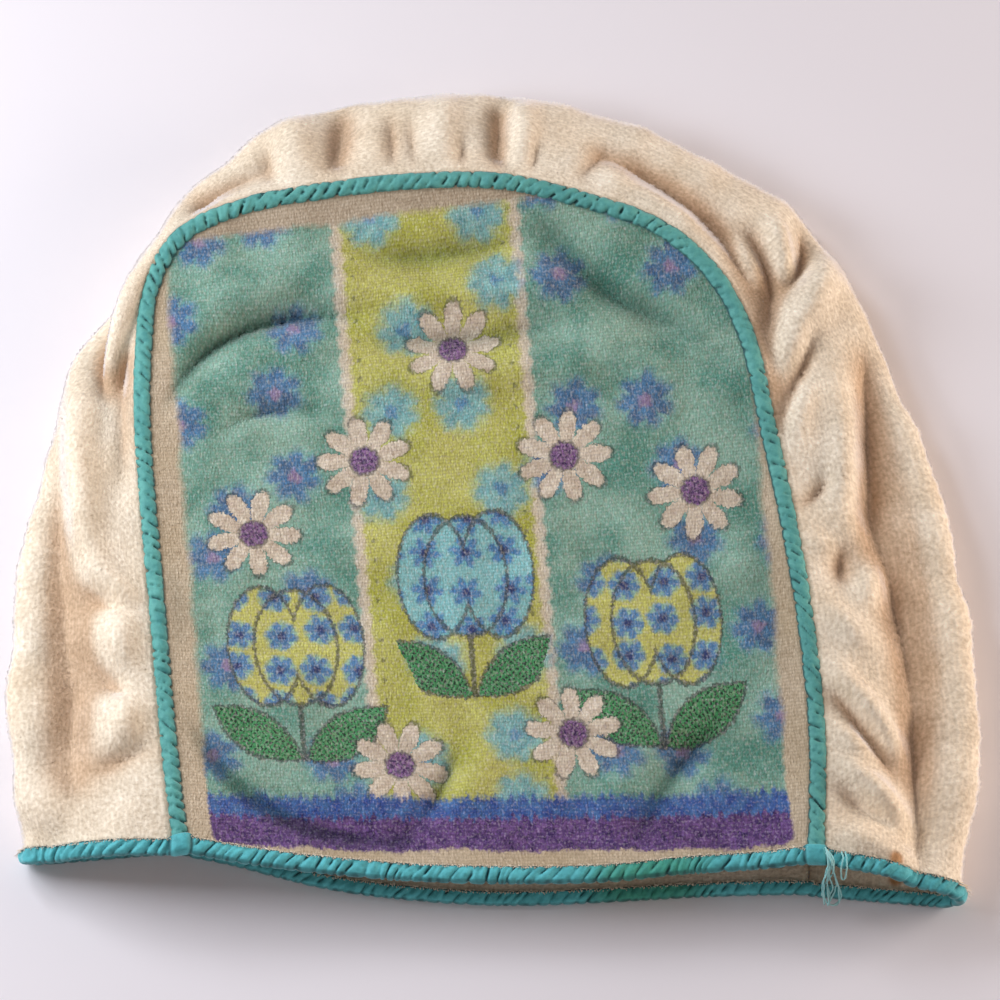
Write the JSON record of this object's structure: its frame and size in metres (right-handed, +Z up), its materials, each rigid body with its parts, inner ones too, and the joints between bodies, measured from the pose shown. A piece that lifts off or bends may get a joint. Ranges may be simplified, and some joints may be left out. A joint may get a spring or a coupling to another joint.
{
  "type": "toaster cover",
  "caption": "Arched terry towelling cover that pulls down over a toaster, lying empty on its back, with a printed front, a plain gusset and bias-bound edges.",
  "frame": {"origin": "under the middle of the cover as it lies, on the surface it rests on", "axes": "+X across the cover, +Y from the opening to the top of the arch, +Z up away from the surface"},
  "size_m": [0.3448, 0.3098, 0.0306],
  "materials": {
    "printed_terry": "looped terry towelling with a soft printed design in teal, lime, blue and purple",
    "cream_terry": "looped terry towelling, undyed cream",
    "teal_cotton": "plain woven cotton bias tape, teal, puckered along its stitches"
  },
  "bodies": {
    "root": {"front_panel": "printed_terry", "gusset": "cream_terry", "back_panel": "cream_terry", "front_piping": "teal_cotton", "hem_binding": "teal_cotton"}
  },
  "joints": []
}
